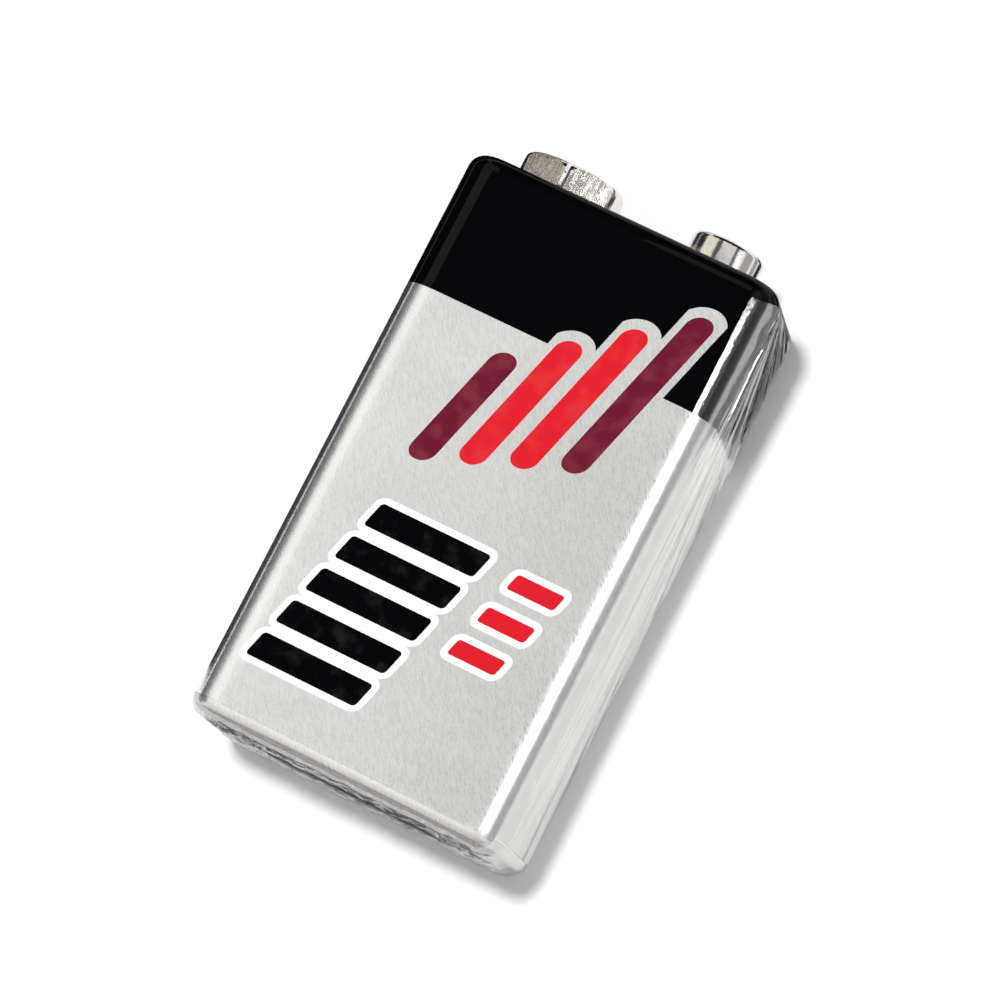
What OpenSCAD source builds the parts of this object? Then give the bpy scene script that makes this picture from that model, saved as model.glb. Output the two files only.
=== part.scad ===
// Nine volt battery lying on its back: printed label, rolled steel jacket, snap terminals
// on a moulded board, and six cylindrical cells in series inside.
// The front face looks up (+Z), the terminals point along +Y, the back rests on Z = 0.
// Each module draws its piece upright, base end down and front towards -Y.
// lay_down() turns the finished piece into the resting pose.

/* [Body] */
// Width over the label
body_w = 25.2; // [24.8:0.1:26.4]
// Depth over the label
body_d = 16.8; // [16.4:0.1:17.4]
// Height over both rolled rims
body_h = 45.5; // [44:0.1:46]
// Radius of the four long edges
edge_r = 2.8; // [2.5:0.1:3.2]
// Radius of the rolled rims
rim_r = 1.2; // [0.9:0.05:1.4]

/* [Jacket] */
// Thickness of the steel sheet
sheet_t = 0.3; // [0.25:0.01:0.35]
// Width of the lip rolled over each end
lip_w = 1.7; // [1.5:0.05:2]
// Width of the lap seam down the back
lap_w = 2.4; // [1.8:0.1:2.8]
// Groove that shows where the lapped edge ends
lap_gap = 0.2; // [0.1:0.05:0.4]

/* [Label] */
// Thickness of the film
film_t = 0.12; // [0.1:0.01:0.15]
// Width of the hem shrunk over the base end
hem_w = 2.2; // [1.9:0.1:2.4]
// Width of the edge turned over the terminal end
turn_w = 1.55; // [1.45:0.05:1.8]
// Width of the glued overlap down the left side
overlap_w = 3; // [2:0.5:5]
// Creases in the hem on each long side
hem_creases = 17; // [8:1:24]
// Height of a crease
crease_h = 0.14; // [0.08:0.01:0.2]
// Wrinkles that fan out down the right side
wrinkles = 7; // [4:1:10]

/* [Terminals] */
// Distance between the two terminals
snap_pitch = 12.7; // [12.5:0.05:12.9]
// Height of both terminals over their seats
snap_h = 3.3; // [2.9:0.05:3.5]
// Thickness of the terminal metal
snap_t = 0.35; // [0.3:0.01:0.4]
// Head of the stud
stud_d = 5.75; // [5.6:0.05:5.85]
// Waist of the stud
waist_d = 5.3; // [5:0.05:5.4]
// Crown over its rounded corners
crown_d = 8.25; // [7.8:0.05:8.4]
// Opening between the petals
throat_d = 5.8; // [5.7:0.05:5.9]
// Slit between two petals
slit_w = 0.3; // [0.2:0.05:0.4]
// Shank of the rivets
shank_d = 2.2; // [1.8:0.1:2.4]

/* [Inside] */
// Thickness of the terminal board
board_t = 1.5; // [1.3:0.1:1.8]
// Room for the leads under the board
lead_room = 0.9; // [0.8:0.05:1.2]
// Thickness of the insulating card
card_t = 0.4; // [0.3:0.05:0.5]
// Thickness of the base plate
base_t = 1; // [0.8:0.1:1.3]
// Thickness of the insulating sleeve on a cell
sleeve_t = 0.08; // [0.05:0.01:0.1]
// Width of the welded strips
strip_w = 3.6; // [3:0.1:4]
// Thickness of the welded strips
strip_t = 0.15; // [0.1:0.01:0.2]

/* [Hidden] */
$fn = 64;

// Clearance of a loose fit, and of cells that lie beside each other
fit = 0.05;
touch_gap = 0.02;
// How far a cutting shape runs past what it cuts
over = 0.1;

// Jacket inside the label, and the room inside the jacket
jacket_w = body_w - 2 * film_t;
jacket_d = body_d - 2 * film_t;
jacket_h = body_h - 2 * film_t;
jacket_r = edge_r - film_t;
jacket_rim_r = rim_r - film_t;
room_w = jacket_w - 2 * sheet_t;
room_d = jacket_d - 2 * sheet_t;
room_r = jacket_r - sheet_t;
room_rim_r = jacket_rim_r - sheet_t;

// Stack of pieces from the base end to the terminals
base_z = film_t + sheet_t;
base_strap_z = base_z + base_t;
cell_z = base_strap_z + strip_t;
board_top_z = body_h - film_t - sheet_t;
board_z = board_top_z - board_t;
card_top_z = board_z - lead_room;
card_z = card_top_z - card_t;
cell_top_z = card_z - strip_t;
cell_h = cell_top_z - cell_z;
seat_depth = 0.2;
relief_w = 0.8;
skirt_t = 1;
seat_z = board_top_z - seat_depth;
overall_h = seat_z + snap_h;

// Creases of the hem and wrinkles of the right side
crease_w = 0.45;
crease_turn = 32;
crease_reach = 0.75 * (hem_w - rim_r);
wrinkle_w = 0.5;
wrinkle_h = 0.7 * crease_h;
fan_drop = 3;
fan_pitch = 0.5;
fan_spread = 35;
fan_length = body_h / 4;
long_pitch = (body_d - 2 * edge_r) / wrinkles;
long_top = 0.65 * body_h;
long_length = 0.52 * body_h;

// Cells, three across and two deep
slot_d = min((room_d - 3 * touch_gap) / 2, (room_w - 4 * touch_gap) / 3);
can_d = slot_d - 2 * sleeve_t;
pitch_x = (room_w - slot_d) / 2 - touch_gap;
pitch_y = slot_d + touch_gap;
nub_d = 0.49 * can_d;
nub_h = 0.7;
shoulder = 0.6;
cap_d = 0.73 * can_d;
crimp_h = 0.2;
seal_d = 0.81 * can_d;
seal_depth = 0.5;

// Column (-1, 0, 1) and row (-1 front, 1 back) of each cell, and which have the nub up
CELL_COLUMNS = [-1, -1, 0, 0, 1, 1];
CELL_ROWS = [-1, 1, 1, -1, -1, 1];
function cell_place(i) = [CELL_COLUMNS[i - 1] * pitch_x, CELL_ROWS[i - 1] * pitch_y / 2];
function nub_up(i) = i % 2 == 0;

// Terminals
snap_x = snap_pitch / 2;
crown_base_r = crown_d / 2 + 0.1;
stud_base_d = stud_d + 1.1;
crown_round = 0.7;
// A little over the rounded corners, so that the cylinder takes the points off the hexagon
crown_point_r = crown_d / 2 * 1.045;
crown_flat = crown_point_r * cos(30);
throat_band = 0.6;
throat_lead = 0.15;
slit_z = 0.9;
stud_band = 1.5;
stud_round = 0.45;
stud_bevel = 0.25;
stud_mouth_d = 3.2;
mouth_flare = 0.5;
shank_hole_d = shank_d + 2 * fit;
rivet_head_d = 2.9;
rivet_head_t = 0.45;
rivet_bore_d = 1.2;
clinch_d = 3.4;
clinch_t = 0.3;

// Leads, folded up from the first and the last cell to the rivets
lead_pad_d = clinch_d + 1;
lead_bend = (board_z - strip_t - cell_top_z) / 2;
lead_bend_y = clinch_d / 2 + 2 * lead_bend + fit;
lead_turn = atan2(pitch_x - snap_x, pitch_y / 2);
lead_length = norm([pitch_x - snap_x, pitch_y / 2]);
card_slack = 0.4;

// A fixed spread of numbers between -1 and 1, so that creases do not look ruled
function uneven(i) = sin(i * 137.5);

module lay_down() {
  translate([0, -overall_h / 2, body_d / 2])
    rotate([-90, 0, 0])
      children();
}

// Outline of a rectangle with round corners
module rounded_rect(w, d, r) {
  square([w, d - 2 * r], center = true);
  square([w - 2 * r, d], center = true);
  for (sx = [-1, 1], sy = [-1, 1])
    translate([sx * (w / 2 - r), sy * (d / 2 - r)])
      circle(r);
}

// Carries a section (distance out from the corner centre, height) round a rounded rectangle
module frame_sweep(w, d, r) {
  for (i = [0:3]) {
    half_x = (i % 2 == 0 ? w : d) / 2 - r;
    half_y = (i % 2 == 0 ? d : w) / 2 - r;
    rotate([0, 0, 90 * i])
      translate([half_x, half_y, 0]) {
        rotate_extrude(angle = 90)
          children();
        rotate([90, 0, 0])
          linear_extrude(2 * half_y)
            children();
      }
  }
}

// Quarter of a ring of metal or film, bending from the wall to the lip
module rim_quarter(r, t) {
  intersection() {
    difference() {
      circle(r);
      circle(r - t);
    }
    translate([0, -r])
      square(r);
  }
}

// Section of a wall whose two ends are rolled inwards into lips
module rolled_section(reach, rim, t, height, low_lip, high_lip) {
  translate([reach - t, rim])
    square([t, height - 2 * rim]);
  translate([reach - rim, rim])
    rim_quarter(rim, t);
  translate([reach - low_lip, 0])
    square([low_lip - rim, t]);
  translate([reach - rim, height - rim])
    mirror([0, 1])
      rim_quarter(rim, t);
  translate([reach - high_lip, height - t])
    square([high_lip - rim, t]);
}

// Plate with round corners whose lower outer edge is rounded to seat in a rolled rim
module seated_plate(w, d, r, t, round_r) {
  translate([0, 0, t / 2])
    cube([w - 2 * r, d - 2 * r, t], center = true);
  frame_sweep(w, d, r)
    intersection() {
      square([r, t]);
      union() {
        translate([0, round_r])
          square([r, t]);
        square([r - round_r, t]);
        translate([r - round_r, round_r])
          circle(round_r);
      }
    }
}

// Ridge of three flat faces lying along X on the plane Z = 0
module crease(length, width, height) {
  rotate([90, 0, 90])
    linear_extrude(length)
      polygon([[-width / 2, -film_t / 2], [width / 2, -film_t / 2], [0, height]]);
}

// Creases of the hem on one side, pointing inwards from the rim
module hem_side(count, side_w, side_d) {
  step = (side_w - 2 * edge_r) / count;
  for (i = [0:count - 1])
    translate([-side_w / 2 + edge_r + (i + 0.5) * step, side_d / 2 - rim_r, 0])
      rotate([0, 0, -90 + crease_turn * uneven(i + count)])
        mirror([0, 0, 1])
          crease(crease_reach * (1 + 0.15 * uneven(3 * i)), crease_w, crease_h);
}

module label_sleeve() {
  fan_y = -body_d / 2 + edge_r;
  color("silver") {
    frame_sweep(body_w, body_d, edge_r)
      rolled_section(edge_r, rim_r, film_t, body_h, hem_w, turn_w);
    // Glued overlap down the left side
    translate([-body_w / 2 - film_t / 2, -overlap_w / 2, rim_r])
      cube([film_t, overlap_w, body_h - 2 * rim_r]);
    // Hem shrunk over the base end
    for (turn = [0, 180])
      rotate([0, 0, turn]) {
        hem_side(hem_creases, body_w, body_d);
        rotate([0, 0, 90])
          hem_side(round(hem_creases * 0.6), body_d, body_w);
      }
    // Wrinkles that start at the front corner under the terminal end and fan out
    for (i = [0:wrinkles - 1])
      translate([body_w / 2, fan_y + i * fan_pitch, body_h - fan_drop - i * fan_pitch / 2])
        rotate([0, 90, 0])
          rotate([0, 0, (i - 0.5) * fan_spread / wrinkles])
            crease(fan_length + 2 * uneven(i), wrinkle_w, wrinkle_h);
    // Shallow wrinkles along the rest of that side
    for (i = [1:wrinkles - 2])
      translate([body_w / 2, fan_y + i * long_pitch, long_top - 2 * uneven(i)])
        rotate([0, 90, 0])
          rotate([0, 0, 3 * uneven(2 * i)])
            crease(long_length, 1.4 * wrinkle_w, 0.7 * wrinkle_h);
  }
}

module steel_jacket() {
  seam_x = -pitch_x / 2;
  color("lightsteelblue") {
    difference() {
      translate([0, 0, film_t])
        frame_sweep(jacket_w, jacket_d, jacket_r)
          rolled_section(jacket_r, jacket_rim_r, sheet_t, jacket_h, lip_w, lip_w);
      translate([seam_x + lap_w / 2, jacket_d / 2 - lip_w - over, 0])
        cube([lap_gap, lip_w + 2 * over, body_h]);
    }
    // Lapped edge behind the groove, in the valley between two cells
    translate([seam_x - lap_w / 2, room_d / 2 - sheet_t, cell_z])
      cube([lap_w + lap_gap + 2 * sheet_t, sheet_t, cell_h]);
  }
}

module terminal_board() {
  color("black")
    difference() {
      union() {
        translate([0, 0, board_top_z])
          mirror([0, 0, 1])
            seated_plate(room_w - 2 * fit, room_d - 2 * fit, room_r - fit, board_t, room_rim_r);
        // Skirt that stands on the card and leaves room for the leads
        translate([0, 0, card_top_z])
          linear_extrude(lead_room)
            difference() {
              rounded_rect(room_w - 2 * fit, room_d - 2 * fit, room_r - fit);
              rounded_rect(room_w - 2 * skirt_t, room_d - 2 * skirt_t, room_r - skirt_t);
            }
      }
      for (side = [-1, 1])
        translate([side * snap_x, 0, board_z - over])
          cylinder(h = board_t + 2 * over, d = shank_hole_d);
      translate([-snap_x, 0, seat_z])
        cylinder(h = seat_depth + over, r = crown_base_r + fit);
      translate([snap_x, 0, seat_z])
        cylinder(h = seat_depth + over, r = stud_base_d / 2 + fit);
      // Relief slots that let gas past the board
      for (side = [-1, 1])
        translate([0, side * (room_d / 2 - lip_w - relief_w), board_top_z])
          cube([4 * relief_w, relief_w, 2 * board_t + over], center = true);
    }
}

// Crown: a hexagonal cup on a round base, slit at its corners into six sprung petals
module negative_snap() {
  color("gainsboro")
    translate([-snap_x, 0, seat_z])
      difference() {
        union() {
          cylinder(h = snap_t, r = crown_base_r);
          intersection() {
            rotate([0, 0, 90])
              cylinder(h = snap_h, r = crown_point_r, $fn = 6);
            rotate_extrude()
              union() {
                square([crown_d / 2 - crown_round, snap_h]);
                square([crown_d / 2, snap_h - crown_round]);
                translate([crown_d / 2 - crown_round, snap_h - crown_round])
                  circle(crown_round);
              }
          }
        }
        // Room behind the petals
        translate([0, 0, snap_t])
          rotate([0, 0, 90])
            cylinder(
              h = snap_h - snap_t - throat_band - throat_lead,
              r = (crown_flat - snap_t) / cos(30), $fn = 6
            );
        translate([0, 0, snap_t])
          cylinder(h = snap_h, d = throat_d);
        translate([0, 0, snap_h - throat_lead])
          cylinder(h = throat_lead + over, d1 = throat_d, d2 = throat_d + mouth_flare);
        for (i = [0:5])
          rotate([0, 0, 30 + 60 * i])
            translate([0, -slit_w / 2, slit_z])
              cube([crown_d, slit_w, snap_h]);
        translate([0, 0, -over])
          cylinder(h = snap_t + 2 * over, d = shank_hole_d);
      }
}

// Stud: a drawn cap that flares to its base, turned in at the top round an open mouth
module positive_snap() {
  head_z = snap_h - stud_round - stud_band;
  waist_z = head_z - stud_bevel;
  wall_d = waist_d - 2 * snap_t;
  base_wall_d = stud_base_d - 2 * snap_t;
  color("gainsboro")
    translate([snap_x, 0, seat_z])
      difference() {
        union() {
          cylinder(h = snap_t, d = stud_base_d);
          translate([0, 0, snap_t])
            cylinder(h = waist_z - snap_t, d1 = stud_base_d, d2 = waist_d);
          translate([0, 0, waist_z])
            cylinder(h = head_z - waist_z, d1 = waist_d, d2 = stud_d);
          rotate_extrude()
            union() {
              translate([0, head_z])
                square([stud_d / 2, stud_band]);
              translate([0, head_z])
                square([stud_d / 2 - stud_round, stud_band + stud_round]);
              translate([stud_d / 2 - stud_round, snap_h - stud_round])
                circle(stud_round);
            }
        }
        translate([0, 0, snap_t])
          cylinder(h = waist_z - snap_t, d1 = base_wall_d, d2 = wall_d);
        translate([0, 0, snap_t])
          cylinder(h = snap_h - 2 * snap_t, d = wall_d);
        translate([0, 0, snap_t])
          cylinder(h = snap_h, d = stud_mouth_d);
        translate([0, 0, snap_h - throat_lead])
          cylinder(h = throat_lead + over, d1 = stud_mouth_d, d2 = stud_mouth_d + mouth_flare);
        translate([0, 0, -over])
          cylinder(h = snap_t + 2 * over, d = shank_hole_d);
      }
}

// Semi-tubular rivet from the floor of a terminal down through board and lead
module rivet(side) {
  head_z = seat_z + snap_t;
  pad_z = board_z - strip_t;
  color("silver")
    translate([side * snap_x, 0, 0])
      difference() {
        rotate_extrude()
          polygon([
            [0, pad_z - clinch_t],
            [clinch_d / 2 - clinch_t / 2, pad_z - clinch_t],
            [clinch_d / 2, pad_z - clinch_t / 2],
            [clinch_d / 2, pad_z],
            [shank_d / 2, pad_z],
            [shank_d / 2, head_z],
            [rivet_head_d / 2, head_z],
            [rivet_head_d / 2, head_z + rivet_head_t / 2],
            [rivet_head_d / 2 - rivet_head_t, head_z + rivet_head_t],
            [0, head_z + rivet_head_t]
          ]);
        translate([0, 0, pad_z - clinch_t - over])
          cylinder(h = board_t, d = rivet_bore_d);
      }
}

// Edge view of a lead: flat on the cell, two quarter bends up, flat under the board
module lead_section() {
  low = cell_top_z + lead_bend + strip_t / 2;
  bend_out = lead_bend + strip_t / 2;
  translate([-pitch_y / 2 - strip_w / 2, cell_top_z])
    square([strip_w / 2 + pitch_y / 2 - lead_bend_y, strip_t]);
  translate([-lead_bend_y, low])
    rim_quarter(bend_out, strip_t);
  translate([-lead_bend_y + 2 * lead_bend, low])
    rotate(180)
      rim_quarter(bend_out, strip_t);
  translate([-lead_bend_y + 2 * lead_bend, board_z - strip_t])
    square([clinch_d, strip_t]);
}

// side is -1 for the lead of the first cell and 1 for the last, which stands in the back row
module lead(side) {
  color("lightgray")
    rotate([0, 0, side > 0 ? 180 : 0])
      difference() {
        intersection() {
          translate([-pitch_x - strip_w, 0, 0])
            rotate([90, 0, 90])
              linear_extrude(pitch_x + strip_w)
                lead_section();
          // Outline seen from above: a round end on the cell, a pad round the rivet
          linear_extrude(body_h)
            union() {
              translate([-snap_x, 0])
                circle(d = lead_pad_d);
              translate([-pitch_x, -pitch_y / 2])
                rotate(-lead_turn) {
                  circle(d = strip_w);
                  translate([-strip_w / 2, 0])
                    square([strip_w, lead_length]);
                }
            }
        }
        translate([-snap_x, 0, board_z - strip_t - over])
          cylinder(h = strip_t + 2 * over, d = shank_hole_d);
      }
}

module top_card() {
  // Slots that the folded leads come up through
  slot_x = snap_x + (lead_bend_y - lead_bend) * tan(lead_turn);
  slot_w = strip_w / cos(lead_turn) + 2 * lead_bend * tan(lead_turn) + 2 * card_slack;
  slot_l = 2 * lead_bend + 2 * card_slack;
  color("tan")
    translate([0, 0, card_z])
      linear_extrude(card_t)
        difference() {
          rounded_rect(room_w - 2 * fit, room_d - 2 * fit, room_r - fit);
          for (turn = [0, 180])
            rotate(turn)
              translate([-slot_x, -lead_bend_y + lead_bend])
                square([slot_w, slot_l], center = true);
        }
}

module base_plate() {
  field_w = jacket_w - 2 * lip_w - 4 * fit;
  field_d = jacket_d - 2 * lip_w - 4 * fit;
  color("dimgray")
    union() {
      translate([0, 0, base_z])
        seated_plate(room_w - 2 * fit, room_d - 2 * fit, room_r - fit, base_t, room_rim_r);
      // Field that fills the opening of the lip, a little below it
      translate([0, 0, base_z - sheet_t + fit])
        linear_extrude(sheet_t)
          rounded_rect(field_w, field_d, jacket_r - lip_w);
    }
}

// Sealed cylindrical cell, nub end up
module cell_body() {
  can_r = can_d / 2;
  neck_z = cell_h - nub_h;
  rotate_extrude()
    polygon([
      [0, 0],
      [cap_d / 2, 0],
      [cap_d / 2, seal_depth],
      [seal_d / 2, seal_depth],
      [seal_d / 2, crimp_h],
      [can_r - crimp_h, crimp_h],
      [can_r, 2 * crimp_h],
      [can_r, neck_z - shoulder],
      [can_r - shoulder, neck_z],
      [nub_d / 2, neck_z],
      [nub_d / 2, cell_h - crimp_h],
      [nub_d / 2 - crimp_h, cell_h],
      [0, cell_h]
    ]);
}

// Moves a cell drawn nub up to its place in the chain, turned over where its nub points down
module in_place(i) {
  translate([cell_place(i)[0], cell_place(i)[1], cell_z])
    if (nub_up(i))
      children();
    else
      translate([0, 0, cell_h])
        mirror([0, 0, 1])
          children();
}

module cell(i) {
  color("slategray")
    in_place(i)
      cell_body();
}

module cell_sleeve(i) {
  color("palegreen")
    in_place(i)
      translate([0, 0, 2 * crimp_h])
        difference() {
          cylinder(h = cell_h - nub_h - shoulder - 2 * crimp_h, d = slot_d);
          translate([0, 0, -over])
            cylinder(h = cell_h, d = can_d);
        }
}

// Welded strip with round ends between the cells first and last, with two weld marks on each
module strap(first, last, z) {
  start = cell_place(first);
  reach = cell_place(last) - start;
  span = norm(reach);
  color("lightgray")
    translate([start[0], start[1], z])
      rotate([0, 0, atan2(reach[1], reach[0])])
        difference() {
          linear_extrude(strip_t)
            union() {
              translate([0, -strip_w / 2])
                square([span, strip_w]);
              circle(d = strip_w);
              translate([span, 0])
                circle(d = strip_w);
            }
          for (x = [0, span], side = [-1, 1])
            translate([x, side * strip_w / 5, z > body_h / 2 ? strip_t : 0])
              cylinder(h = strip_t / 2, d = strip_w / 8, center = true);
        }
}

lay_down() label_sleeve();
lay_down() steel_jacket();
lay_down() terminal_board();
lay_down() negative_snap();
lay_down() positive_snap();
lay_down() rivet(-1);  // negative_rivet
lay_down() rivet(1);  // positive_rivet
lay_down() lead(-1);  // negative_lead
lay_down() lead(1);  // positive_lead
lay_down() top_card();
lay_down() base_plate();
lay_down() cell(1);  // cell_1
lay_down() cell(2);  // cell_2
lay_down() cell(3);  // cell_3
lay_down() cell(4);  // cell_4
lay_down() cell(5);  // cell_5
lay_down() cell(6);  // cell_6
lay_down() cell_sleeve(1);  // cell_sleeve_1
lay_down() cell_sleeve(2);  // cell_sleeve_2
lay_down() cell_sleeve(3);  // cell_sleeve_3
lay_down() cell_sleeve(4);  // cell_sleeve_4
lay_down() cell_sleeve(5);  // cell_sleeve_5
lay_down() cell_sleeve(6);  // cell_sleeve_6
lay_down() strap(2, 3, card_z - strip_t);  // top_strap_1
lay_down() strap(4, 5, card_z - strip_t);  // top_strap_2
lay_down() strap(1, 2, base_strap_z);  // base_strap_1
lay_down() strap(3, 4, base_strap_z);  // base_strap_2
lay_down() strap(5, 6, base_strap_z);  // base_strap_3
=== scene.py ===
"""Looks of a nine volt battery lying on its back: print, brushed foil, clear film, plated terminals."""

import math

import bpy
from mathutils import Matrix, Vector, noise


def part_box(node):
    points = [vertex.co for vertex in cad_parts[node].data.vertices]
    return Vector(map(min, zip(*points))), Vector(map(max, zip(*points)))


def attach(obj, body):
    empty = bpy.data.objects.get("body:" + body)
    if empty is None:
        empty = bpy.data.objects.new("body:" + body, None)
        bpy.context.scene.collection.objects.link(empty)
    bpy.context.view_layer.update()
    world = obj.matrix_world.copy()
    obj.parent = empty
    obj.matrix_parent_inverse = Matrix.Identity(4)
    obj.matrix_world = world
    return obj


bl_info = {
    "name": "Nine volt battery",
    "version": (1, 0, 0),
    "blender": (4, 5, 0),
    "location": "View3D > Sidebar > Battery",
    "description": "Dresses the packed battery: label print, clear film, plated terminals and a studio",
    "category": "Object",
}

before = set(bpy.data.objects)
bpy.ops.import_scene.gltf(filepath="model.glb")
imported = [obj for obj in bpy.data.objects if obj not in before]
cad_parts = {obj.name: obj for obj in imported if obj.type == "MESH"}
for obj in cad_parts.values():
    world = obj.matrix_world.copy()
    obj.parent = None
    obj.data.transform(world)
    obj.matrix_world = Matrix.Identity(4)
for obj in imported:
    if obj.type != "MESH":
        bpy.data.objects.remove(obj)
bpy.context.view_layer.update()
LABEL_LOW, LABEL_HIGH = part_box("label_sleeve")
JACKET_LOW, JACKET_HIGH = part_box("steel_jacket")
MM = 0.001

# Outer faces of the label without its creases, in millimetres
HALF_WIDTH = JACKET_HIGH.x / MM + 0.12
FRONT = JACKET_HIGH.z / MM + 0.12
BASE_END = JACKET_LOW.y / MM - 0.12
TOP_END = JACKET_HIGH.y / MM + 0.12
MIDDLE = FRONT / 2
# How far the bars of the print lean to the right per millimetre upwards
LEAN = 0.28


def colour(name, description, default):
    return bpy.props.FloatVectorProperty(
        name=name, description=description, default=default,
        subtype="COLOR", size=3, min=0, max=1,
    )


def length(name, description, default):
    return bpy.props.FloatProperty(
        name=name, description=description, default=default * MM,
        subtype="DISTANCE", unit="LENGTH", precision=5,
    )


class PrintSettings(bpy.types.PropertyGroup):
    """Colours and sizes of the print on the label"""

    silver: colour("Silver", "Brushed foil of the label", (0.86, 0.855, 0.83))
    black: colour("Black", "Ink of the band and of the gauge bars", (0.0015, 0.0015, 0.002))
    red: colour("Red", "Ink of the inner bars", (0.72, 0.016, 0.026))
    maroon: colour("Maroon", "Ink of the outer bars", (0.15, 0.01, 0.028))
    white: colour("White", "Outline of the bars", (0.93, 0.93, 0.92))
    band_edge: length("Band edge", "Where the black band starts along the battery", 10.45)
    outline: length("Outline", "Width of the line round a bar", 0.5)


class FilmSettings(bpy.types.PropertyGroup):
    """Sizes of the clear film"""

    gap: length("Gap", "Distance between the film and the label", 0.05)
    thickness: length("Thickness", "Thickness of the film", 0.03)
    fold_height: length("Fold height", "Height of the folds down the right side", 0.3)
    crinkle: length("Crinkle", "Height of the crinkles over the base end", 0.28)
    hem: length("Hem", "Width of the film shrunk over the base end", 4.2)


class StudioSettings(bpy.types.PropertyGroup):
    """Floor, lamps and camera"""

    floor: bpy.props.FloatProperty(
        name="Floor", description="Side of the square floor", default=3,
        subtype="DISTANCE", unit="LENGTH",
    )
    key_power: bpy.props.FloatProperty(
        name="Key lamp", description="Power of the lamp that casts the shadow", default=5.7,
        subtype="POWER", unit="POWER",
    )
    ambient: bpy.props.FloatProperty(
        name="Ambient", description="Strength of the light from all round", default=0.35,
    )
    lens: bpy.props.FloatProperty(
        name="Focal length", description="Lens of the camera", default=176.4,
        subtype="DISTANCE_CAMERA", unit="CAMERA",
    )


class Finish:
    """One node material, with helpers that work in the object's own millimetres."""

    def __init__(self, name):
        self.material = bpy.data.materials.new(name)
        self.material.use_nodes = True
        self.tree = self.material.node_tree
        self.shader = self.tree.nodes["Principled BSDF"]
        place = self.add("ShaderNodeTexCoord")
        scale = self.add("ShaderNodeMapping")
        scale.inputs["Scale"].default_value = (1 / MM, 1 / MM, 1 / MM)
        self.link(place.outputs["Object"], scale.inputs["Vector"])
        self.mm = scale.outputs["Vector"]
        split = self.add("ShaderNodeSeparateXYZ")
        self.link(self.mm, split.inputs[0])
        self.x, self.y, self.z = split.outputs

    def add(self, kind):
        return self.tree.nodes.new(kind)

    def link(self, source, target):
        self.tree.links.new(source, target)

    def feed(self, target, value):
        if isinstance(value, bpy.types.NodeSocket):
            self.link(value, target)
        elif value is not None:
            target.default_value = value

    def set(self, **values):
        for name, value in values.items():
            self.feed(self.shader.inputs[name.replace("_", " ")], value)

    def math(self, operation, a, b=None, c=None, clamp=False):
        n = self.add("ShaderNodeMath")
        n.operation = operation
        n.use_clamp = clamp
        for socket, value in zip(n.inputs, (a, b, c)):
            self.feed(socket, value)
        return n.outputs[0]

    def above(self, value, limit):
        return self.math("GREATER_THAN", value, limit)

    def below(self, value, limit):
        return self.math("LESS_THAN", value, limit)

    def both(self, a, b):
        return self.math("MULTIPLY", a, b)

    def invert(self, a):
        return self.math("SUBTRACT", 1.0, a)

    def ramp(self, value, low, high, to_low=0.0, to_high=1.0, smooth=True):
        n = self.add("ShaderNodeMapRange")
        n.interpolation_type = "SMOOTHSTEP" if smooth else "LINEAR"
        self.feed(n.inputs["Value"], value)
        for name, number in zip(
            ("From Min", "From Max", "To Min", "To Max"), (low, high, to_low, to_high)
        ):
            self.feed(n.inputs[name], number)
        return n.outputs["Result"]

    def blend(self, factor, a, b, kind="MIX"):
        n = self.add("ShaderNodeMix")
        n.data_type = "RGBA"
        n.blend_type = kind
        self.feed(n.inputs[0], factor)
        for socket, value in ((n.inputs[6], a), (n.inputs[7], b)):
            self.feed(socket, tuple(value) + (1,) if isinstance(value, (tuple, list)) else value)
        return n.outputs[2]

    def stretched(self, scale, offset=(0, 0, 0)):
        n = self.add("ShaderNodeMapping")
        n.inputs["Scale"].default_value = scale
        n.inputs["Location"].default_value = offset
        self.link(self.mm, n.inputs["Vector"])
        return n.outputs["Vector"]

    def grain(self, scale, offset=(0, 0, 0), detail=3.0, rough=0.5, size=1.0):
        n = self.add("ShaderNodeTexNoise")
        n.inputs["Scale"].default_value = size
        n.inputs["Detail"].default_value = detail
        n.inputs["Roughness"].default_value = rough
        self.link(self.stretched(scale, offset), n.inputs["Vector"])
        return n.outputs["Fac"]

    def slanted_grain(self, degrees, across, along):
        """Streaks in the plane of the front, turned from the battery's length to the left."""
        c, s = math.cos(math.radians(degrees)), math.sin(math.radians(degrees))
        place = self.add("ShaderNodeCombineXYZ")
        for socket, of_x, of_y, scale in (
            (place.inputs[0], c, s, across), (place.inputs[1], -s, c, along),
        ):
            part = self.math("MULTIPLY", self.y, of_y * scale)
            self.link(self.math("MULTIPLY_ADD", self.x, of_x * scale, part), socket)
        self.link(self.math("MULTIPLY", self.z, along), place.inputs[2])
        n = self.add("ShaderNodeTexNoise")
        n.inputs["Scale"].default_value = 1.0
        n.inputs["Detail"].default_value = 3.0
        n.inputs["Roughness"].default_value = 0.65
        self.link(place.outputs[0], n.inputs["Vector"])
        return n.outputs["Fac"]

    def bump(self, height, strength, distance):
        n = self.add("ShaderNodeBump")
        self.feed(n.inputs["Strength"], strength)
        n.inputs["Distance"].default_value = distance * MM
        self.link(height, n.inputs["Height"])
        old = self.shader.inputs["Normal"]
        if old.is_linked:
            self.link(old.links[0].from_socket, n.inputs["Normal"])
        self.link(n.outputs["Normal"], old)
        return n.outputs["Normal"]

    def rounded_bar(self, u, v, half_u, half_v, radius):
        """Distance from a bar with round corners: below 0 inside it."""
        a = self.math("MAXIMUM", self.math("SUBTRACT", self.math("ABSOLUTE", u), half_u), 0.0)
        b = self.math("MAXIMUM", self.math("SUBTRACT", self.math("ABSOLUTE", v), half_v), 0.0)
        squares = self.math("ADD", self.math("MULTIPLY", a, a), self.math("MULTIPLY", b, b))
        return self.math("SUBTRACT", self.math("SQRT", squares), radius)


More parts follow.
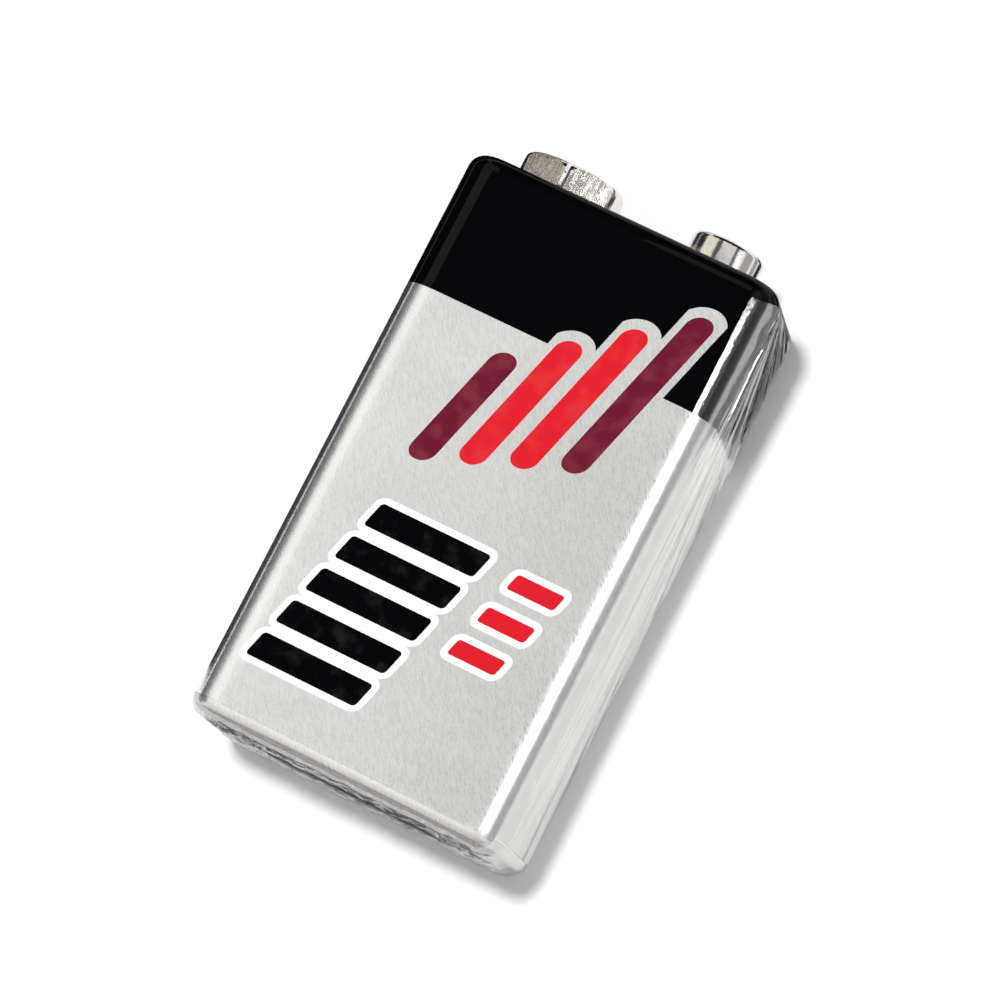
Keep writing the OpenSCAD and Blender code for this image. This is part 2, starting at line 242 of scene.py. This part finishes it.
def wear(node, finish, slot=None):
    """Gives a CAD node one finish on all its faces."""
    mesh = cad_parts[node].data
    mesh.materials.clear()
    mesh.materials.append(finish.material)


def bar_row(f, along, across, start, pitch, count, thick, reach, radius, line):
    """A row of like bars: (inside a bar, inside its outline, number of the bar).

    along is the coordinate that the row runs down, across the one that the bars run along.
    reach gives the low and high end of a bar from its number.
    """
    cell = f.math("DIVIDE", f.math("SUBTRACT", along, start), pitch)
    number = f.math("FLOOR", cell)
    u = f.math("MULTIPLY", f.math("SUBTRACT", f.math("FRACT", cell), 0.5), pitch)
    low, high = reach(number)
    mid = f.math("MULTIPLY", f.math("ADD", low, high), 0.5)
    half = f.math("SUBTRACT", f.math("MULTIPLY", f.math("SUBTRACT", high, low), 0.5), radius)
    v = f.math("SUBTRACT", across, mid)
    away = f.rounded_bar(u, v, thick / 2 - radius, half, radius)
    in_row = f.both(f.above(number, -0.5), f.below(number, count - 0.5))
    return f.both(in_row, f.below(away, 0.0)), f.both(in_row, f.below(away, line)), number


def label_finish(s):
    f = Finish("label_print")
    line = s.outline / MM
    front = f.above(f.z, FRONT - 0.25)
    band = f.above(f.y, s.band_edge / MM)

    # Brushed foil: short fine streaks at a slant, with soft clouds
    streak = f.slanted_grain(35, 8.0, 1.7)
    cloud = f.grain((0.10, 0.16, 0.10), (11, 5, 2), detail=3)
    tone = f.ramp(streak, 0.25, 0.75, 0.92, 1.08, smooth=False)
    tone = f.math("MULTIPLY", tone, f.ramp(cloud, 0.3, 0.7, 0.97, 1.03))
    silver = f.blend(1.0, tuple(s.silver), tone, "MULTIPLY")
    # Clear hem over bare steel at the base end, past the edge of the print
    hem_edge = f.math("ADD", BASE_END + 0.38, f.math("MULTIPLY", f.math("SUBTRACT", cloud, 0.5), 0.3))
    hem = f.below(f.y, hem_edge)
    silver = f.blend(hem, silver, (0.50, 0.485, 0.46))

    # All bars lean like italics: skew is constant along their slanted ends
    skew = f.math("SUBTRACT", f.x, f.math("MULTIPLY", f.y, LEAN))
    # Four long bars that rise over the edge of the band
    red_fill, red_line, number = bar_row(
        f, skew, f.y, -6.75, 3.1, 4, 2.0,
        lambda n: (f.math("MULTIPLY_ADD", n, 1.3, -1.2), f.math("MULTIPLY_ADD", n, 2.8, 8.6)),
        0.95, 0.85,
    )
    # Gauge of five bars down the left
    black_fill, black_line, _ = bar_row(
        f, f.y, skew, -19.6, 3.0, 5, 2.0, lambda n: (-4.7, 4.2), 0.3, line,
    )
    # Three short bars on the right, in line with the gauge
    short_fill, short_line, _ = bar_row(
        f, f.y, skew, -13.6, 3.0, 3, 1.3, lambda n: (6.6, 10.4), 0.25, line,
    )
    red_fill, red_line = f.both(front, red_fill), f.both(front, red_line)
    black_fill, black_line = f.both(front, black_fill), f.both(front, black_line)
    short_fill, short_line = f.both(front, short_fill), f.both(front, short_line)
    outer = f.above(f.math("ABSOLUTE", f.math("SUBTRACT", number, 1.5)), 1.0)

    ink = f.grain((0.7, 0.7, 0.7), (1, 2, 3), detail=4)
    red = f.blend(outer, tuple(s.red), tuple(s.maroon))
    red = f.blend(f.ramp(ink, 0.4, 0.7, 0, 0.07), red, (0.95, 0.25, 0.22))
    black = f.blend(f.ramp(ink, 0.5, 0.75, 0, 0.05), tuple(s.black), (0.2, 0.2, 0.2))
    paint = f.blend(band, silver, tuple(s.black))
    paint = f.blend(red_line, paint, silver)
    paint = f.blend(red_fill, paint, red)
    paint = f.blend(black_line, paint, tuple(s.white))
    paint = f.blend(black_fill, paint, black)
    paint = f.blend(short_line, paint, tuple(s.white))
    paint = f.blend(short_fill, paint, tuple(s.red))

    inked = f.math("MAXIMUM", f.both(band, f.invert(red_line)), red_fill)
    inked = f.math("MAXIMUM", inked, f.math("MAXIMUM", black_line, short_line))
    # The foil shows its metal most where it bends round the long edges
    bend = f.ramp(f.math("ABSOLUTE", f.x), HALF_WIDTH - 2.4, HALF_WIDTH - 0.6, 0.0, 1.0)
    flat = f.ramp(f.x, -12, 12, 0.28, 0.46, smooth=False)
    metal = f.both(f.invert(inked), f.ramp(bend, 0.0, 1.0, flat, 0.97, smooth=False))
    rough = f.ramp(streak, 0.3, 0.7, 0.25, 0.36)
    rough = f.math("MULTIPLY", rough, f.ramp(bend, 0.3, 1.0, 1.0, 0.55))
    rough = f.math("ADD", f.both(f.invert(inked), rough), f.both(inked, 0.5))
    f.set(
        Base_Color=paint, Metallic=metal, Roughness=rough,
        Coat_Weight=f.ramp(inked, 0.0, 1.0, 0.5, 0.25), Coat_Roughness=0.04, Coat_IOR=1.5,
    )
    f.shader.inputs["Specular IOR Level"].default_value = 0.0
    brushed = f.both(f.invert(inked), streak)
    ground = f.bump(brushed, 0.35, 0.018)
    f.link(ground, f.shader.inputs["Coat Normal"])
    return f


def plated_finish(name, tint, rough, dirt):
    """Nickel plate: drawing marks and faint stains."""
    f = Finish(name)
    marks = f.grain((6, 0.7, 6), (2, 9, 4), detail=5, rough=0.6)
    stain = f.grain((0.5, 0.5, 0.5), (7, 3, 1), detail=4)
    base = f.blend(f.ramp(stain, 0.4, 0.75, 0, dirt), tint, (0.42, 0.36, 0.29))
    tone = f.ramp(marks, 0.3, 0.7, 0.93, 1.03)
    f.set(
        Base_Color=f.blend(1.0, base, tone, "MULTIPLY"), Metallic=1.0,
        Roughness=f.ramp(marks, 0.25, 0.75, rough * 0.7, rough * 1.5),
    )
    f.bump(marks, 0.25, 0.02)
    f.bump(stain, 0.3, 0.08)
    return f


def moulded_finish(name, tint):
    """Moulded plastic: fine spark-eroded grain and faint dust."""
    f = Finish(name)
    fine = f.grain((9, 9, 9), detail=4)
    dust = f.grain((0.7, 0.7, 0.7), (4, 4, 8), detail=5, rough=0.7)
    base = f.blend(f.ramp(dust, 0.5, 0.8, 0, 0.2), tint, (0.32, 0.30, 0.28))
    f.set(Base_Color=base, Roughness=f.ramp(fine, 0.3, 0.7, 0.42, 0.6))
    f.bump(fine, 0.3, 0.02)
    return f


def rolled_finish(name, tint, rough, along):
    """Rolled steel or nickel strip with lines in the rolling direction."""
    f = Finish(name)
    lines = f.grain((0.3, 8, 8) if along == "x" else (8, 0.3, 8), (5, 5, 5), detail=5, rough=0.6)
    haze = f.grain((0.4, 0.4, 0.4), (1, 8, 3), detail=3)
    tone = f.ramp(lines, 0.3, 0.7, 0.9, 1.05)
    f.set(
        Base_Color=f.blend(1.0, tint, tone, "MULTIPLY"), Metallic=1.0,
        Roughness=f.math("ADD", f.ramp(lines, 0.3, 0.7, rough * 0.8, rough * 1.2),
                         f.ramp(haze, 0.4, 0.7, 0, 0.08)),
    )
    f.bump(lines, 0.3, 0.02)
    return f


def card_finish():
    f = Finish("insulating_card")
    fibre = f.grain((2, 2, 9), detail=6, rough=0.7)
    f.set(
        Base_Color=f.blend(fibre, (0.42, 0.33, 0.22), (0.62, 0.52, 0.38)),
        Roughness=f.ramp(fibre, 0.3, 0.7, 0.75, 0.95),
    )
    f.bump(fibre, 0.5, 0.04)
    return f


def sleeve_finish():
    f = Finish("cell_sleeve_film")
    haze = f.grain((0.6, 0.3, 0.6), detail=3)
    f.set(
        Base_Color=f.blend(haze, (0.55, 0.68, 0.58), (0.72, 0.82, 0.74)),
        Roughness=f.ramp(haze, 0.3, 0.7, 0.18, 0.3),
    )
    f.bump(haze, 0.3, 0.05)
    return f


def clear_finish(name, veil, fan=None):
    """Clear film: see-through, and a mirror at a slant as two bare surfaces of plastic are.

    fan is the point (y, z) from which fine pleats spread.
    """
    f = Finish(name)
    haze = f.grain((0.9, 0.5, 0.9), (2, 6, 1), detail=4)
    f.set(
        Base_Color=f.blend(haze, (0.93, 0.93, 0.93), (1.0, 1.0, 1.0)), Metallic=1.0,
        Roughness=f.ramp(haze, 0.3, 0.7, 0.05, 0.14),
    )
    f.bump(haze, 0.4, 0.06)
    if fan:
        down = f.math("SUBTRACT", fan[0], f.y)
        side = f.math("SUBTRACT", fan[1], f.z)
        squares = f.math("ADD", f.both(down, down), f.both(side, side))
        far = f.math("SQRT", squares)
        polar = f.add("ShaderNodeCombineXYZ")
        f.link(f.math("MULTIPLY", f.math("ARCTAN2", side, down), 6.0), polar.inputs[0])
        f.link(f.math("MULTIPLY", far, 0.015), polar.inputs[1])
        pleats = f.add("ShaderNodeTexNoise")
        pleats.inputs["Scale"].default_value = 1.0
        pleats.inputs["Detail"].default_value = 2.5
        f.link(polar.outputs[0], pleats.inputs["Vector"])
        # Smooth where the film lies on the bend to the front
        hold = f.both(f.ramp(f.z, FRONT - 3.0, FRONT - 1.8, 1.0, 0.0), f.ramp(far, 3, 30, 1.0, 0.3))
        f.bump(pleats.outputs["Fac"], hold, 2.4)
    slant = f.add("ShaderNodeFresnel")
    slant.inputs["IOR"].default_value = 1.5
    part = f.math("MULTIPLY_ADD", slant.outputs[0], 0.55, veil, clamp=True)
    clear = f.add("ShaderNodeBsdfTransparent")
    mixed = f.add("ShaderNodeMixShader")
    out = f.tree.nodes["Material Output"]
    f.link(part, mixed.inputs[0])
    f.link(clear.outputs[0], mixed.inputs[1])
    f.link(f.shader.outputs[0], mixed.inputs[2])
    f.link(mixed.outputs[0], out.inputs["Surface"])
    return f


def start_piece(name):
    """Names the primitive that was just added and applies its place."""
    piece = bpy.context.object
    piece.name = name
    piece.data.name = name
    bpy.ops.object.transform_apply(location=True, rotation=True, scale=True)
    return piece


def pick(piece, kind, test):
    """In edit mode: selects exactly the faces, edges or vertices that pass the test."""
    bpy.ops.mesh.select_mode(type=kind)
    bpy.ops.mesh.select_all(action="DESELECT")
    bpy.ops.object.mode_set(mode="OBJECT")
    mesh = piece.data
    items = {"FACE": mesh.polygons, "EDGE": mesh.edges, "VERT": mesh.vertices}[kind]
    found = 0
    for item in items:
        item.select = bool(test(mesh, item))
        found += item.select
    bpy.ops.object.mode_set(mode="EDIT")
    if not found:
        raise RuntimeError(f"{piece.name}: nothing was found to select")


def edge_ends(mesh, edge):
    return [mesh.vertices[i].co / MM for i in edge.vertices]


def close_in(piece, thickness, finish):
    """Gives a sheet its thickness and smooth shading, and hands it to the frame."""
    bpy.ops.object.mode_set(mode="OBJECT")
    wall = piece.modifiers.new("Wall", "SOLIDIFY")
    wall.thickness = thickness
    wall.offset = 1
    bpy.ops.object.modifier_apply(modifier=wall.name)
    bpy.ops.object.shade_smooth_by_angle(angle=math.radians(55))
    piece.data.materials.append(finish.material)
    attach(piece, "root")


def add_wrap(name, gap, low_y, high_y):
    """A box round the battery with rounded long edges, open to be cut into a sheet of film."""
    bpy.ops.object.select_all(action="DESELECT")
    bpy.ops.mesh.primitive_cube_add(
        size=1, location=(0, (low_y + high_y) / 2 * MM, MIDDLE * MM),
    )
    bpy.context.object.scale = (
        2 * (HALF_WIDTH + gap) * MM, (high_y - low_y) * MM, (FRONT + 2 * gap) * MM,
    )
    piece = start_piece(name)
    bpy.ops.object.mode_set(mode="EDIT")
    pick(piece, "EDGE", lambda m, e: abs((lambda a, b: a.y - b.y)(*edge_ends(m, e))) > 1e-3)
    bpy.ops.mesh.bevel(offset=(2.8 + gap) * MM, segments=8, profile=0.5, affect="EDGES")
    return piece


def cut_across(axis, places):
    """Cuts the open mesh with planes across one axis, so that folds have points to stand on."""
    for place in places:
        spot, way = Vector((0, 0, 0)), Vector((0, 0, 0))
        spot[axis], way[axis] = place * MM, 1
        bpy.ops.mesh.select_all(action="SELECT")
        bpy.ops.mesh.bisect(plane_co=spot, plane_no=way)


def steps(low, high, size):
    count = max(1, round((high - low) / size))
    return [low + (high - low) * i / count for i in range(1, count)]


class BATTERY_OT_print_label(bpy.types.Operator):
    """Print the label: brushed foil, black band and rising bars"""

    bl_idname = "battery.print_label"
    bl_label = "Print the label"

    def execute(self, context):
        wear("label_sleeve", label_finish(context.scene.battery_print))
        return {"FINISHED"}


class BATTERY_OT_plate_terminals(bpy.types.Operator):
    """Plate the crown, the stud and their rivets"""

    bl_idname = "battery.plate_terminals"
    bl_label = "Plate the terminals"

    def execute(self, context):
        bright = plated_finish("nickel_plate", (0.80, 0.78, 0.75), 0.10, 0.25)
        dull = plated_finish("rivet_plate", (0.66, 0.64, 0.60), 0.28, 0.5)
        for node in ("negative_snap", "positive_snap"):
            wear(node, bright)
        for node in ("negative_rivet", "positive_rivet"):
            wear(node, dull)
        return {"FINISHED"}


class BATTERY_OT_finish_case(bpy.types.Operator):
    """Give the jacket, the terminal board and the base plate their surfaces"""

    bl_idname = "battery.finish_case"
    bl_label = "Finish the case"

    def execute(self, context):
        wear("steel_jacket", rolled_finish("tinplate", (0.62, 0.61, 0.59), 0.3, "x"))
        wear("terminal_board", moulded_finish("moulded_black", (0.012, 0.012, 0.013)))
        wear("base_plate", moulded_finish("moulded_grey", (0.17, 0.155, 0.14)))
        return {"FINISHED"}


class BATTERY_OT_finish_cells(bpy.types.Operator):
    """Give the cells, their sleeves, strips and card their surfaces"""

    bl_idname = "battery.finish_cells"
    bl_label = "Finish the cells"

    def execute(self, context):
        can = rolled_finish("drawn_can", (0.5, 0.5, 0.5), 0.32, "y")
        strip = rolled_finish("nickel_strip", (0.68, 0.66, 0.62), 0.3, "x")
        sleeve = sleeve_finish()
        for i in range(1, 7):
            wear(f"cell_{i}", can)
            wear(f"cell_sleeve_{i}", sleeve)
        for node in ("negative_lead", "positive_lead", "top_strap_1", "top_strap_2",
                     "base_strap_1", "base_strap_2", "base_strap_3"):
            wear(node, strip)
        wear("top_card", card_finish())
        return {"FINISHED"}


class BATTERY_OT_wrap_side(bpy.types.Operator):
    """Lay the film down the right side, with folds that fan out from the front top corner"""

    bl_idname = "battery.wrap_side"
    bl_label = "Wrap the right side"

    def execute(self, context):
        s = context.scene.battery_film
        gap, high = s.gap / MM + 0.11, TOP_END - 1.1
        piece = add_wrap("film_side", gap, BASE_END + 1.2, high)
        reach = HALF_WIDTH + gap
        pick(piece, "FACE", lambda m, p: p.center.x / MM < reach - 2.0 or abs(p.normal.y) > 0.5)
        bpy.ops.mesh.delete(type="FACE")
        # The film is drawn back from the front top corner
        bpy.ops.mesh.select_all(action="SELECT")
        bpy.ops.mesh.bisect(
            plane_co=(0, (high - 0.5) * MM, FRONT * MM), plane_no=(0, 1, 0.3), clear_outer=True
        )
        cut_across(2, steps(2.8, FRONT - 2.8, 0.16))
        cut_across(1, steps(BASE_END + 1.2, high, 0.5))
        bpy.ops.object.mode_set(mode="OBJECT")
        apex = Vector((high + 1.5, FRONT - 1.6))
        folds = [(7, 3.5, 0.8), (15, 3.5, 1.0), (24, 4, 0.9), (35, 5, 1.0), (50, 7, 0.9)]
        for v in piece.data.vertices:
            p = v.co / MM
            down, side = apex.x - p.y, apex.y - p.z
            far = math.hypot(down, side)
            turn = math.degrees(math.atan2(side, down))
            lift = 0
            for angle, width, size in folds:
                wave = 0.5 * noise.noise(Vector((far * 0.09, angle, 0)))
                off = (turn - angle - wave) / (width * (1 + 1.6 / far))
                fade = min(1, far / 2.5) / (1 + (far / 17) ** 2)
                lift += size * fade * max(0, 1 - abs(off)) ** 0.8
            long_fold = noise.noise(Vector((p.z * 0.8, p.y * 0.03, 4)))
            lift += 0.35 * abs(long_fold) * min(1, down / 14)
            edge = min(1, (p.y - BASE_END - 1.1) / 2, (high - p.y + 0.3) / 0.6)
            corner = min(1, max(0, (p.x - reach + 0.6) / 0.55))
            height = s.fold_height / MM * lift * max(0, edge) * corner
            out = Vector((1, 0, 0))
            v.co += out * height * MM
        close_in(piece, s.thickness, clear_finish("clear_film_side", 0.01, apex))
        return {"FINISHED"}


class BATTERY_OT_wrap_base(bpy.types.Operator):
    """Shrink the film over the base end in crinkles"""

    bl_idname = "battery.wrap_base"
    bl_label = "Wrap the base end"

    def execute(self, context):
        s = context.scene.battery_film
        gap = s.gap / MM + 0.13
        piece = add_wrap("film_hem", s.gap / MM, BASE_END - gap, BASE_END + 1.0)
        low = BASE_END - gap
        pick(piece, "FACE", lambda m, p: p.normal.y > 0.5)
        bpy.ops.mesh.delete(type="FACE")
        pick(piece, "EDGE", lambda m, e: all(abs(q.y - low) < 1e-3 for q in edge_ends(m, e)))
        bpy.ops.mesh.bevel(offset=1.25 * MM, segments=5, profile=0.5, affect="EDGES")
        pick(piece, "FACE", lambda m, p: p.normal.y < -0.999)
        # Rings inwards, drawn closer to the middle one by one
        rings, step = 12, s.hem / MM / 12
        for i in range(rings):
            wide, high = HALF_WIDTH - 1.25 - i * step, MIDDLE - 1.25 - i * step
            bpy.ops.mesh.extrude_region()
            bpy.ops.transform.resize(
                value=(1 - step / wide, 1, 1 - step / high), center_override=(0, 0, MIDDLE * MM)
            )
        bpy.ops.mesh.delete(type="FACE")
        cut_across(0, steps(-HALF_WIDTH + 1, HALF_WIDTH - 1, 0.25))
        cut_across(2, steps(1, FRONT - 1, 0.25))
        bpy.ops.object.mode_set(mode="OBJECT")
        for v in piece.data.vertices:
            p = v.co / MM
            inner = min(HALF_WIDTH - abs(p.x), MIDDLE - abs(p.z - MIDDLE))
            weight = min(1, max(0, (inner - 0.15) / 1.6))
            q = Vector((p.x * 0.75, 0, p.z * 0.75))
            fold = 1 - abs(noise.noise(q)) * 2.4
            fine = noise.noise(q * 2.7 + Vector((5, 5, 5)))
            rise = weight * s.crinkle / MM * (0.55 * max(0, fold) + 0.35 * fine + 0.12)
            wave = noise.noise_vector(Vector((p.x * 0.5, 3, p.z * 0.5)))
            v.co.y -= max(0, rise) * MM
            v.co.x += 0.35 * weight * wave.x * MM
            v.co.z += 0.35 * weight * wave.z * MM
        close_in(piece, s.thickness, clear_finish("clear_film_hem", 0.01))
        return {"FINISHED"}


def only_reflected(card):
    """A card that the camera never sees, and that only gives gloss something to mirror."""
    card.visible_camera = False
    card.visible_diffuse = False
    card.visible_shadow = False
    card.visible_transmission = False
    card.visible_volume_scatter = False


def plain_light(name, tint, strength):
    material = bpy.data.materials.new(name)
    material.use_nodes = True
    tree = material.node_tree
    tree.nodes.remove(tree.nodes["Principled BSDF"])
    glow = tree.nodes.new("ShaderNodeEmission")
    glow.inputs["Color"].default_value = tint + (1,)
    glow.inputs["Strength"].default_value = strength
    tree.links.new(glow.outputs[0], tree.nodes["Material Output"].inputs["Surface"])
    return material


def add_card(name, centre, towards, size, material):
    """A flat card that faces a point."""
    bpy.ops.object.select_all(action="DESELECT")
    bpy.ops.mesh.primitive_plane_add(size=1, location=[c * MM for c in centre])
    card = bpy.context.object
    card.name = name
    card.rotation_euler = (Vector(towards) - Vector(centre)).to_track_quat("Z", "Y").to_euler()
    card.scale = (size[0] * MM, size[1] * MM, 1)
    bpy.ops.object.transform_apply(location=True, rotation=True, scale=True)
    card.data.materials.append(material)
    only_reflected(card)
    return card


def light_paths(tree):
    """1 for rays that should find a white surround: from the camera, mirrored or let through."""
    path = tree.nodes.new("ShaderNodeLightPath")
    total = None
    for name in ("Is Camera Ray", "Is Glossy Ray", "Is Transmission Ray"):
        if total is None:
            total = path.outputs[name]
            continue
        n = tree.nodes.new("ShaderNodeMath")
        n.operation = "MAXIMUM"
        tree.links.new(total, n.inputs[0])
        tree.links.new(path.outputs[name], n.inputs[1])
        total = n.outputs[0]
    return total


class BATTERY_OT_set_stage(bpy.types.Operator):
    """Set the floor, the lamps, the cards that gloss mirrors, and the camera"""

    bl_idname = "battery.set_stage"
    bl_label = "Set the stage"

    def execute(self, context):
        s = context.scene.battery_studio
        self.floor(s)
        self.world(s)
        self.lamps(s)
        self.cards()
        self.camera(s)
        context.scene.view_settings.view_transform = "Standard"
        return {"FINISHED"}

    def floor(self, s):
        bpy.ops.object.select_all(action="DESELECT")
        bpy.ops.mesh.primitive_plane_add(size=s.floor, location=(0, 0, 0))
        floor = bpy.context.object
        floor.name = "floor"
        material = bpy.data.materials.new("white_floor")
        material.use_nodes = True
        tree = material.node_tree
        paint = tree.nodes["Principled BSDF"]
        paint.inputs["Base Color"].default_value = (0.9, 0.9, 0.9, 1)
        paint.inputs["Roughness"].default_value = 0.9
        paint.inputs["Specular IOR Level"].default_value = 0.0
        lift = tree.nodes.new("ShaderNodeEmission")
        lift.inputs["Color"].default_value = (1, 1, 1, 1)
        part = tree.nodes.new("ShaderNodeMath")
        part.operation = "MULTIPLY"
        part.inputs[1].default_value = 0.1
        tree.links.new(light_paths(tree), part.inputs[0])
        tree.links.new(part.outputs[0], lift.inputs["Strength"])
        total = tree.nodes.new("ShaderNodeAddShader")
        tree.links.new(paint.outputs[0], total.inputs[0])
        tree.links.new(lift.outputs[0], total.inputs[1])
        tree.links.new(total.outputs[0], tree.nodes["Material Output"].inputs["Surface"])
        floor.data.materials.append(material)

    def world(self, s):
        world = bpy.data.worlds.new("studio")
        bpy.context.scene.world = world
        world.use_nodes = True
        tree = world.node_tree
        light = tree.nodes["Background"]
        light.inputs["Color"].default_value = (1, 1, 1, 1)
        light.inputs["Strength"].default_value = s.ambient
        seen = tree.nodes.new("ShaderNodeBackground")
        seen.inputs["Color"].default_value = (1, 1, 1, 1)
        seen.inputs["Strength"].default_value = 1
        choice = tree.nodes.new("ShaderNodeMixShader")
        tree.links.new(light_paths(tree), choice.inputs[0])
        tree.links.new(light.outputs[0], choice.inputs[1])
        tree.links.new(seen.outputs[0], choice.inputs[2])
        tree.links.new(choice.outputs[0], tree.nodes["World Output"].inputs["Surface"])

    def lamps(self, s):
        lamp = bpy.data.lights.new("key", "AREA")
        lamp.shape = "DISK"
        lamp.size = 0.08
        lamp.energy = s.key_power
        key = bpy.data.objects.new("key", lamp)
        bpy.context.scene.collection.objects.link(key)
        key.location = (-0.06, 0.036, 0.88)
        key.rotation_euler = Vector(key.location).to_track_quat("Z", "Y").to_euler()
        key.visible_glossy = False

    def cards(self):
        dark = plain_light("dark_card", (0.10, 0.105, 0.12), 1)
        grey = plain_light("grey_card", (0.42, 0.41, 0.43), 1)
        violet = plain_light("violet_card", (0.03, 0.025, 0.04), 1)
        cream = plain_light("cream_card", (0.95, 0.90, 0.76), 1)
        beige = plain_light("beige_card", (0.50, 0.47, 0.43), 1)
        white = plain_light("white_card", (0.95, 0.95, 0.94), 1)
        pale = plain_light("pale_card", (0.85, 0.84, 0.81), 1)
        brown = plain_light("brown_card", (0.20, 0.15, 0.11), 1)
        strip = plain_light("strip_lamp", (1, 1, 1), 22)
        add_card("card_over", (-60, 80, 600), (0, 0, 16), (560, 460), dark)
        add_card("card_over_right", (250, 60, 420), (0, 0, 16), (400, 300), dark)
        add_card("strip_right", (126, 13, 112), (12, 0, 16), (64, 24), strip)
        add_card("card_right_low", (150, 20, 42), (12, 0, 16), (260, 76), grey)
        add_card("card_left", (-82, 10, 22), (0, 5, 16), (160, 52), violet)
        add_card("card_left_cream", (-66, 34, 29.5), (-8.5, 22.9, 12.1), (3.2, 3.6), cream)
        add_card("card_left_low", (-37, 22, 0.4), (-37, 22, 100), (50, 84), violet)
        add_card("card_right_floor", (40, -25, 0.4), (40, -25, 100), (54, 72), white)
        # Dark strips on the floor, which the pleats and crinkles mirror where they tilt up
        add_card("card_right_foot", (17.8, 23.5, 0.6), (17.8, 23.5, 100), (7.4, 23), violet)
        add_card("card_right_far", (40, 30, 0.6), (40, 30, 100), (30, 34), grey)
        add_card("card_base_floor", (0, -30.5, 0.6), (0, -30.5, 100), (30, 5), violet)
        add_card("card_base", (0, -95, 44), (0, -24, 8), (150, 74), beige)
        add_card("card_base_foot", (0, -92, 9), (0, -24, 8), (150, 6), violet)
        add_card("card_top", (0, 160, 104), (0, 22, 8), (300, 210), violet)
        # Small cards past the top end, which only the terminals mirror
        add_card("card_snaps", (13.5, 45.5, 60), (13.5, 45.5, 0), (42, 30), pale)
        add_card("card_snaps_left", (-40, 47, 50), (6.3, 47, 11), (30, 44), cream)
        add_card("card_snaps_brown", (43, 47, 58), (6.3, 47, 11), (30, 5), brown)
        add_card("card_snaps_right", (120, 70, 122), (6.3, 70, 11), (48, 60), white)

    def camera(self, s):
        lens = bpy.data.cameras.new("camera")
        lens.lens = s.lens
        lens.sensor_width = 36
        lens.clip_start = 0.01
        camera = bpy.data.objects.new("camera", lens)
        bpy.context.scene.collection.objects.link(camera)
        right = Vector((0.88133, 0.45400, -0.13090))
        down = Vector((0.42549, -0.88305, -0.19795))
        look = Vector((-0.20546, 0.11877, -0.97143))
        turn = Matrix((right, -down, -look)).transposed()
        camera.matrix_world = (
            Matrix.Translation((0.073286, -0.042769, 0.356612)) @ turn.to_4x4()
        )
        bpy.context.scene.camera = camera


STEPS = (
    BATTERY_OT_set_stage,
    BATTERY_OT_print_label,
    BATTERY_OT_plate_terminals,
    BATTERY_OT_finish_case,
    BATTERY_OT_finish_cells,
    BATTERY_OT_wrap_side,
    BATTERY_OT_wrap_base,
)
SETTINGS = (PrintSettings, FilmSettings, StudioSettings)


class BATTERY_PT_sidebar(bpy.types.Panel):
    """Lists the sizes, colours and steps of the battery"""

    bl_idname = "BATTERY_PT_sidebar"
    bl_label = "Nine volt battery"
    bl_space_type = "VIEW_3D"
    bl_region_type = "UI"
    bl_category = "Battery"

    def draw(self, context):
        for group in (context.scene.battery_print, context.scene.battery_film,
                      context.scene.battery_studio):
            box = self.layout.box()
            for name in group.bl_rna.properties.keys():
                if name not in ("rna_type", "name"):
                    box.prop(group, name)
        for step in STEPS:
            self.layout.operator(step.bl_idname)


def register():
    for item in SETTINGS + STEPS + (BATTERY_PT_sidebar,):
        bpy.utils.register_class(item)
    bpy.types.Scene.battery_print = bpy.props.PointerProperty(type=PrintSettings)
    bpy.types.Scene.battery_film = bpy.props.PointerProperty(type=FilmSettings)
    bpy.types.Scene.battery_studio = bpy.props.PointerProperty(type=StudioSettings)


def unregister():
    del bpy.types.Scene.battery_print
    del bpy.types.Scene.battery_film
    del bpy.types.Scene.battery_studio
    for item in reversed(SETTINGS + STEPS + (BATTERY_PT_sidebar,)):
        bpy.utils.unregister_class(item)


def main():
    register()
    for step in STEPS:
        group, name = step.bl_idname.split(".")
        getattr(getattr(bpy.ops, group), name)()


if __name__ == "__main__":
    main()
